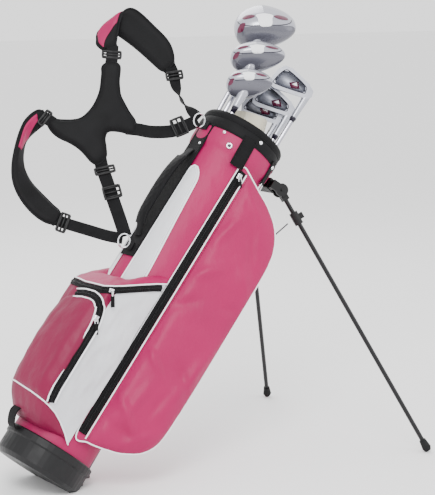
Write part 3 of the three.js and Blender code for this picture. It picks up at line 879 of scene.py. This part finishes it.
def back_pad():
    outline = spline([
        (-270, 685), (-256, 660), (-248, 648), (-238, 636), (-224, 627), (-208, 618), (-190, 610),
        (-179, 598), (-180, 585), (-204, 575), (-221, 563), (-219, 548), (-208, 534), (-199, 519),
        (-203, 500), (-216, 496), (-237, 502), (-253, 505), (-272, 505), (-292, 503), (-310, 506),
        (-325, 515), (-325, 526), (-308, 534), (-287, 547), (-276, 560), (-271, 580), (-271, 600),
        (-276, 624), (-289, 652), (-297, 668), (-287, 683),
    ], 200, closed=True)
    flat, faces, distance = filled(outline, 4.5)
    rise = 5.5 * dome(distance, 9) + 2.0 * dome(distance, 30)
    points = []
    for side in (1, -1):
        for (p, z), lift in zip(flat, rise):
            swell = wrinkle((p, z, 0), 28, 1.6) * min(1, lift / 4)
            points.append(on_harness(p, pad_bend(p) + side * lift + swell, z))
    back = flipped([[i + len(flat) for i in face] for face in faces])
    padded_piece("harness_back_pad", points, faces + back, "foam", "back_pad", 0.8, "harness")
    edge = [on_harness(p, pad_bend(p), z) for p, z in outline]
    tube_piece("harness_back_binding", edge, 1.9, "binding", closed=True, body="harness")


UPPER_NEAR = [(-297, 715), (-302, 725), (-309, 743), (-316, 761), (-319, 780), (-313, 792),
              (-301, 796), (-282, 794), (-256, 788), (-227, 781), (-208, 772), (-193, 758), (-186, 746)]
UPPER_FAR = [(-311, 696), (-328, 700), (-335, 710), (-340, 719), (-341, 728), (-336, 738),
             (-324, 742), (-307, 741), (-281, 739), (-253, 735), (-223, 729), (-202, 725), (-190, 727)]
LOWER_OUT = [(-344, 530), (-353, 526), (-360, 508), (-361, 486), (-355, 460), (-345, 428), (-333, 403),
             (-318, 383), (-297, 367), (-272, 356), (-249, 351), (-229, 351), (-212, 356)]
LOWER_IN = [(-332, 510), (-337, 498), (-343, 479), (-343, 460), (-334, 440), (-321, 424), (-304, 411),
            (-288, 403), (-268, 397), (-249, 392), (-234, 388), (-220, 385), (-210, 378)]


def shoulder_pad(name, node, near, far, near_v, far_v, panel):
    """A padded strap between two edges, with a coloured panel on its outer side."""
    count, across = 70, 22
    near = spline([(p, v, z) for (p, z), v in zip(near, near_v)], count)
    far = spline([(p, v, z) for (p, z), v in zip(far, far_v)], count)
    normals = np.cross(tangents((near + far) / 2), near - far)
    normals /= np.linalg.norm(normals, axis=1)[:, None]
    rings = []
    for index in range(count):
        ends = min(index, count - 1 - index)
        fullness = min(1, (ends + 0.3) / 4) ** 0.5
        ring = []
        for side in (1, -1):
            shares = np.linspace(0, 1, across) if side > 0 else np.linspace(1, 0, across)[1:-1]
            for share in shares:
                lift = side * fullness * PAD_RISE * crown(share)
                at = far[index] + (near - far)[index] * share + normals[index] * lift
                ring.append(on_harness(*at))
        rings.append(ring)
    padded_piece(name, *loft(rings), "foam", node, 0.8, "harness")
    edge = harness_path(np.concatenate([near, far[::-1]]), 220, closed=True)
    tube_piece(f"{name}_binding", edge, 2.2, "binding", closed=True, body="harness")
    panel_skin(f"{name}_panel_0", panel, near, far, normals)


def crown(share):
    """The rise of a pad's rounded section, from 0 at its edges to 1 in its middle."""
    return min(1, 6.4 * share * (1 - share)) ** 0.5


def panel_skin(name, rows, near, far, normals):
    """A pink panel laid on a pad's outer side; rows give its span at places along it."""
    places, lows, highs = zip(*rows)
    count = len(near)
    rings = []
    for index in range(int(places[0] * count), int(places[-1] * count)):
        low, high = (np.interp(index / count, places, edge) for edge in (lows, highs))
        ring = []
        for share in np.linspace(low, max(high, low + 0.01), 10):
            lift = 0.8 + PAD_RISE * crown(share)
            at = far[index] + (near - far)[index] * share + normals[index] * lift
            ring.append(on_harness(*at))
        rings.append(ring)
    points, faces = loft(rings, closed=False)
    made = mesh_piece(name, points, faces, "pink", "harness")
    made.modifiers.new("thickness", "SOLIDIFY").thickness = 0.0012


def buckle(name, centre, along, width, length):
    """A ladder-lock buckle: a moulded frame with bars across the webbing."""
    along = unit(along)
    across = unit(np.cross(along, HARNESS_FACING))

    def place(a, b, lift):
        return centre + across * a * width / 2 + along * b * length / 2 + HARNESS_FACING * lift

    corners = [place(a, b, 2.6) for a, b in [(-1, -0.7), (-0.85, -1), (0.85, -1), (1, -0.7), (1, 0.7),
                                             (0.85, 1), (-0.85, 1), (-1, 0.7)]]
    frame_path = spline(corners, 40, closed=True)
    tube_piece(f"{name}_frame", frame_path, 2.2, "plastic", closed=True, body="harness")
    for number, shift in enumerate((-0.76, 0, 0.76)):
        bar = [place(a, shift, 3.4) for a in (-0.92, 0, 0.92)]
        tube_piece(f"{name}_bar_{number}", bar, 1.7, "plastic", body="harness")


def harness_straps():
    v = HARNESS_V
    runs = [
        ("strap_upper_back", WEBBING, [(-196, v, 588), (-176, v, 598), (-150, v, 609), (-120, v, 630),
                                       (-103, v + 1, 652), (-88, v + 3, 674)]),
        ("strap_lower_back", WEBBING, [(-214, v, 520), (-196, v, 500), (-172, v, 480), (-145, v, 457),
                                       (-114, v + 1, 431), (-88, v + 3, 408)]),
        ("strap_lower_shoulder", WEBBING - 3, [(-222, v, 366), (-200, v, 369), (-155, v, 381),
                                               (-115, v + 1, 392), (-90, v + 3, 402)]),
    ]
    for name, width, points in runs:
        path = harness_path(points, 40)
        strap_piece(f"{name}_webbing", path, HARNESS_FACING, width, 2.2, "webbing", "harness", name)
    path = harness_path([(-196, v, 744), (-178, v, 732), (-163, v, 716), (-148, v, 701),
                         (-131, v, 691), (-112, v + 1, 685), (-88, v + 3, 680)], 50)
    facing = []
    for t in np.linspace(0, 1, 50):
        twist = math.radians(80) * math.exp(-((t - 0.62) / 0.2) ** 2)
        facing.append(HARNESS_FACING * math.cos(twist) + np.array([0.3, 0, 0.9]) * math.sin(twist))
    strap_piece("strap_upper_shoulder_webbing", path, facing, WEBBING - 3, 2.2, "webbing", "harness",
                "strap_upper_shoulder")
    connectors = [("upper", [(-281, v + 2, 668), (-290, v + 6, 690), (-302, v + 6, 712)]),
                  ("lower", [(-308, v + 2, 521), (-328, v + 4, 522), (-346, v + 4, 518)])]
    for name, points in connectors:
        path = harness_path(points, 16)
        strap_piece(f"connector_{name}", path, HARNESS_FACING, WEBBING - 2, 2.6, "webbing", "harness")


def harness_buckles():
    v = HARNESS_V
    spots = [
        ("buckle_upper_web", (-112, v, 645), (18, 0, 26), 33, 24),
        ("buckle_upper_pad", (-294, v + 3, 696), (-12, 0, 22), 34, 13),
        ("buckle_upper_tip", (-172, v, 727), (15, 0, -17), 30, 15),
        ("buckle_lower_pad", (-335, v + 2, 521), (-22, 0, 2), 30, 11),
        ("buckle_lower_back", (-187, v, 496), (20, 0, -20), 36, 12),
        ("buckle_lower_slide", (-153, v, 467), (20, 0, -19), 31, 22),
        ("buckle_lower_tip", (-200, v, 368), (30, 0, 6), 34, 16),
    ]
    for name, centre, along, width, length in spots:
        buckle(name, on_harness(*centre), on_harness(*along), width, length)


# Clubs. A head's own frame has its origin where the shaft's line meets the heel, x towards
# the toe, y from the face to the back and z out of the sole.

WOOD_AIM = ((0.576, -0.563, 0.593), (-0.804, -0.255, 0.538))
IRON_AIM = ((-0.830, 0.524, 0.180), (0.028, -0.286, 0.956))
PUTTER_AIM = ((-0.957, 0.090, -0.274), (-0.263, 0.118, 0.957))

# Each club's butt and its place in the mouth, the height of its heel, and the directions
# of its toe and sole.
CLUBS = {
    "driver": ((-14, 36), (-44, 55), 908, WOOD_AIM),
    "fairway_wood": ((-18, 6), (-55, 16.6), 843, WOOD_AIM),
    "hybrid": ((-18, -26), (-63.6, -20.3), 778, WOOD_AIM),
    "iron_long": ((46, -38), (50, -42), 848, IRON_AIM),
    "iron_mid": ((61, -8), (58.6, -10), 808, IRON_AIM),
    "iron_short": ((55, 23), (59.6, 12.4), 788, IRON_AIM),
    "putter": ((24, 50), (47.5, 40.5), 760, PUTTER_AIM),
}


def butt_height(x):
    """The rest height of a grip's butt on the cup's stepped floor."""
    edge = x + GRIP_BUTT_RADIUS + 1
    slope = (SOLE_THICKNESS - RIM_HEIGHT + math.sin(LEAN) * edge) / math.cos(LEAN)
    return max(CUP_FLOOR, slope) + BUTT_GAP


def shaft_line(club):
    """The butt of a club and the direction up its shaft."""
    (bx, by), (mx, my), _, _ = CLUBS[club]
    butt = Vector((bx, by, butt_height(bx)))
    return butt, (Vector((mx, my, MOUTH_HEIGHT)) - butt).normalized()


def head_frame(club):
    """The matrix from a head's own frame to the bag's."""
    butt, way = shaft_line(club)
    _, _, heel, (toe, sole) = CLUBS[club]
    toe = Vector(toe).normalized()
    back = Vector(sole).cross(toe).normalized()
    turn = Matrix((toe, back, toe.cross(back))).transposed()
    return Matrix.Translation(butt + way * ((heel - butt.z) / way.z)) @ turn.to_4x4()


def down_shaft(club):
    """The direction down the shaft, in the head's own frame."""
    turn = head_frame(club).to_3x3()
    return np.array(-(turn.transposed() @ shaft_line(club)[1]))


def head_piece(name, club, points, faces, look):
    to_bag = head_frame(club)
    return mesh_piece(name, [to_bag @ Vector(p) for p in points], faces, look, club)


FACE_Y = -11
TOE_TAPER = 0.9


def wood_middle(length, depth):
    return np.array([0.2 * length - 8, FACE_Y + 0.42 * depth, 8])


def signed_power(value, power):
    return math.copysign(abs(value) ** power, value)


def wood_skin(size, turn, tilt):
    """A point of a wood's skin; turn goes round the plan and tilt from crown to sole."""
    length, depth, height = size
    plan_x, plan_y = math.cos(turn), math.sin(turn)
    reach, square_x, square_y = (0.42, 0.8, 0.62) if plan_y < 0 else (0.58, 1, 0.95)
    flat = math.cos(tilt)
    along = length / 2 * signed_power(plan_x, square_x) * flat ** 0.6
    back = depth * reach * signed_power(plan_y, square_y) * flat ** 0.62
    out = height / 2 * math.sin(tilt) * (1 - TOE_TAPER * max(0, along) / length)
    return wood_middle(length, depth) + np.array([along, back, out])


def wood_head(club, *size):
    rings = []
    for tilt in np.radians(np.linspace(-89.5, 89.5, 41)):
        rings.append([wood_skin(size, turn, tilt) for turn in circle(96)])
    points, faces = loft(rings)
    shell = head_piece(f"{club}_shell", club, points, faces, "pearl")
    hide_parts(f"{club}_head")
    turned_on_shaft(f"{club}_neck", club, "pearl",
                    [(2, 12), (10, 10), (20, 8.4), (30, 7.4), (38, 6.9), (40, 6.6)])
    ferrule(club, 40, 53)
    wood_details(club, size)


def turned_on_shaft(name, club, look, profile):
    """A turned part on the shaft's line; its profile is reach from the heel and radius."""
    along = down_shaft(club)
    side = unit(np.cross(along, [0.2, 1, 0.1]))
    points, faces = turned(np.zeros(3), (side, np.cross(along, side), along), profile, 28)
    head_piece(name, club, points, faces, look)


def ferrule(club, start, end, radius=6.4):
    turned_on_shaft(f"{club}_ferrule", club, "ink", [
        (start, radius), (start + 3, radius), (start + 3.6, radius - 0.5), (end, 4.9)])


def patch_on_wood(club, name, size, look, lift, spacing, shape):
    """A painted area on a wood; its outline is in turn and tilt degrees over the skin."""
    flat, faces, _ = filled(spline(shape, 70, closed=True), spacing)
    points = []
    for turn, tilt in flat:
        point = wood_skin(size, math.radians(turn), math.radians(tilt))
        points.append(point + unit(point - wood_middle(*size[:2])) * lift)
    head_piece(f"{club}_{name}", club, points, faces, look)


# Each painted area: its look, how far it stands off the skin, its spacing and its outline.
WOOD_PATCHES = {
    "face": ("face", 0.5, 3, [(206, -30), (240, -36), (270, -38), (300, -36), (334, -24), (338, 4),
                              (328, 26), (300, 36), (270, 38), (240, 36), (212, 26), (202, 0)]),
    "keel": ("piping", 1.0, 2, [(263, 36), (277, 36), (286, 62), (300, 78), (240, 78), (254, 62)]),
    "accent_heel": ("magenta", 0.9, 2, [(196, 54), (230, 64), (236, 73), (206, 74), (190, 66)]),
    "accent_toe": ("magenta", 0.9, 2, [(344, 50), (308, 62), (302, 73), (334, 74), (350, 62)]),
    "badge": ("magenta", 1.0, 2, [(206, 14), (224, 20), (224, 44), (208, 40)]),
}


def wood_details(club, size):
    for name, patch in WOOD_PATCHES.items():
        patch_on_wood(club, name, size, *patch)
    ridge = [wood_skin(size, math.radians(turn), math.radians(38)) * 1.004
             for turn in range(186, 356, 4)]
    head_piece(f"{club}_ridge", club, *tube(ridge, 0.9), "ink")


# Which carried-over nodes get each look, and the width of their rounded edges.
PACKED_LOOKS = [
    ("plastic", 0.6, ["base_cup", "leg_bracket", "pivot_foot", "stay_runner"]),
    ("plastic", 0.8, ["leg_clip_near", "leg_clip_far"]),
    ("plastic", 1.2, ["leg_knuckle_near", "leg_knuckle_far"]),
    ("chrome", 0.6, ["foot_pin", "ring_upper", "ring_lower"]),
    ("webbing", 0.6, ["ring_tab_upper", "ring_tab_lower"]),
    ("collar", 0.6, ["top_divider"]),
    ("tube", 0.3, ["leg_tube_near", "leg_tube_far"]),
    ("rubber", 0.5, ["leg_tip_near", "leg_tip_far"]),
    ("wire", 0.2, ["stay_wire_near", "stay_wire_far"]),
    ("wire", 0.6, ["push_rod"]),
    ("steel", 0.8, ["iron_long_head", "iron_mid_head", "iron_short_head"]),
    ("cream", 1.6, ["putter_head"]),
    ("shaft", 0.2, [f"{club}_shaft" for club in CLUBS]),
    ("grip", 0.5, [f"{club}_grip" for club in CLUBS]),
]


def dress_packed_nodes():
    for look, bevel, nodes in PACKED_LOOKS:
        slot, material = LOOKS[look]
        for node in nodes:
            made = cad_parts[node]
            made.data.materials.clear()
            made.data.materials.append(material)
            made.data.polygons.foreach_set("use_smooth", [True] * len(made.data.polygons))
            round_edges(made, bevel * 0.001)


def clubs():
    wood_head("driver", 124, 108, 76)
    wood_head("fairway_wood", 108, 50, 60)
    wood_head("hybrid", 90, 46, 56)
    for club in ("iron_long", "iron_mid", "iron_short"):
        iron_details(club)
    ferrule("putter", 41, 50, 6)


def flat_patch(club, name, outline, y, look):
    """A flat inlay on a head, facing the back, drawn in x and z."""
    made = head_piece(f"{club}_{name}", club, [(x, y, z) for x, z in outline],
                      [tuple(range(len(outline)))], look)
    made.modifiers.new("thickness", "SOLIDIFY").thickness = 0.0006


def iron_details(club):
    """A dark line round the cavity, a brushed floor and a generic diamond badge."""
    cavity = [(8, 6), (16, 14), (56, 15), (67, 8), (69, -16), (62, -22), (12, -1)]
    line = spline([(x, 8, z) for x, z in cavity], 90, closed=True)
    head_piece(f"{club}_cavity_line", club, *tube(line, 0.9, 6, closed=True), "ink")
    flat_patch(club, "cavity_floor", cavity, 3.2, "brushed")
    flat_patch(club, "badge", [(20, 2), (32, 11), (44, -2), (34, -8)], 4.2, "magenta")
    flat_patch(club, "badge_mark", [(27, 3), (33, 8), (38, -1)], 5.0, "piping")
    ferrule(club, 50.4, 60)


# The object

body_skin()
collar_ring()
collar_fittings()
collar_tab()
towel_strap()
spine()
carry_handle()
base_loop()
apparel_pocket()
apparel_zipper()
ball_pocket()
zip_sliders()
back_pad()
shoulder_pad("harness_upper_pad", "shoulder_pad_upper", UPPER_NEAR, UPPER_FAR,
             np.interp(np.arange(13), [0, 3, 12], [60, 66, 60]),
             np.interp(np.arange(13), [0, 3, 12], [56, 44, 50]),
             [(0.03, 0.15, 0.2), (0.2, 0.06, 0.94), (0.4, 0.06, 0.94)])
shoulder_pad("harness_lower_pad", "shoulder_pad_lower", LOWER_OUT, LOWER_IN,
             np.interp(np.arange(13), [0, 3, 8, 12], [58, 72, 68, 58]),
             np.interp(np.arange(13), [0, 3, 8, 12], [52, 34, 44, 52]),
             [(0.06, 0.5, 0.9), (0.2, 0.2, 0.94), (0.36, 0.7, 0.94)])
harness_straps()
harness_buckles()
dress_packed_nodes()
clubs()

# Floor, light and camera. Each lamp: its place, its size in metres and its power in watts.

LAMPS = {
    "key": ((-1.6, -1.8, 2.6), 1.2, 85),
    "fill": ((1.8, -2.2, 1.4), 1.8, 18),
    "rim": ((0.8, 2.0, 2.2), 1.4, 24),
}
SKY_STRENGTH = 1.7
AZIMUTH = math.radians(-35.5)
ELEVATION = math.radians(9.9)
DISTANCE = 3.0


def aim(made, place, way):
    """Puts a lamp or the camera at a place, facing a direction."""
    made.location = place
    made.rotation_euler = way.to_track_quat("-Z", "Y").to_euler()
    bpy.context.scene.collection.objects.link(made)


def studio():
    bpy.ops.mesh.primitive_plane_add(size=40)
    floor = bpy.context.object
    floor.name = "floor"
    floor.data.materials.append(new_material("pale_floor", (0.9, 0.9, 0.9), Roughness=0.8))
    world = bpy.data.worlds.new("studio")
    bpy.context.scene.world = world
    world.use_nodes = True
    sky = world.node_tree.nodes["Background"].inputs
    sky["Color"].default_value = (1, 1, 1, 1)
    sky["Strength"].default_value = SKY_STRENGTH
    for name, (place, size, watts) in LAMPS.items():
        data = bpy.data.lights.new(name, "AREA")
        data.size = size
        data.energy = watts
        lamp = bpy.data.objects.new(name, data)
        aim(lamp, place, Vector((0, 0, 0.45)) - Vector(place))


def camera():
    target = Vector((0.01494, 0, 0.4))
    level = math.cos(ELEVATION)
    back = Vector((math.sin(AZIMUTH) * level, -math.cos(AZIMUTH) * level, math.sin(ELEVATION)))
    data = bpy.data.cameras.new("camera")
    data.sensor_width = 36
    data.lens = 112.9
    data.shift_x = 0.0465
    data.shift_y = 0.0141
    made = bpy.data.objects.new("camera", data)
    aim(made, target + back * DISTANCE, -back)
    bpy.context.scene.camera = made


studio()
camera()
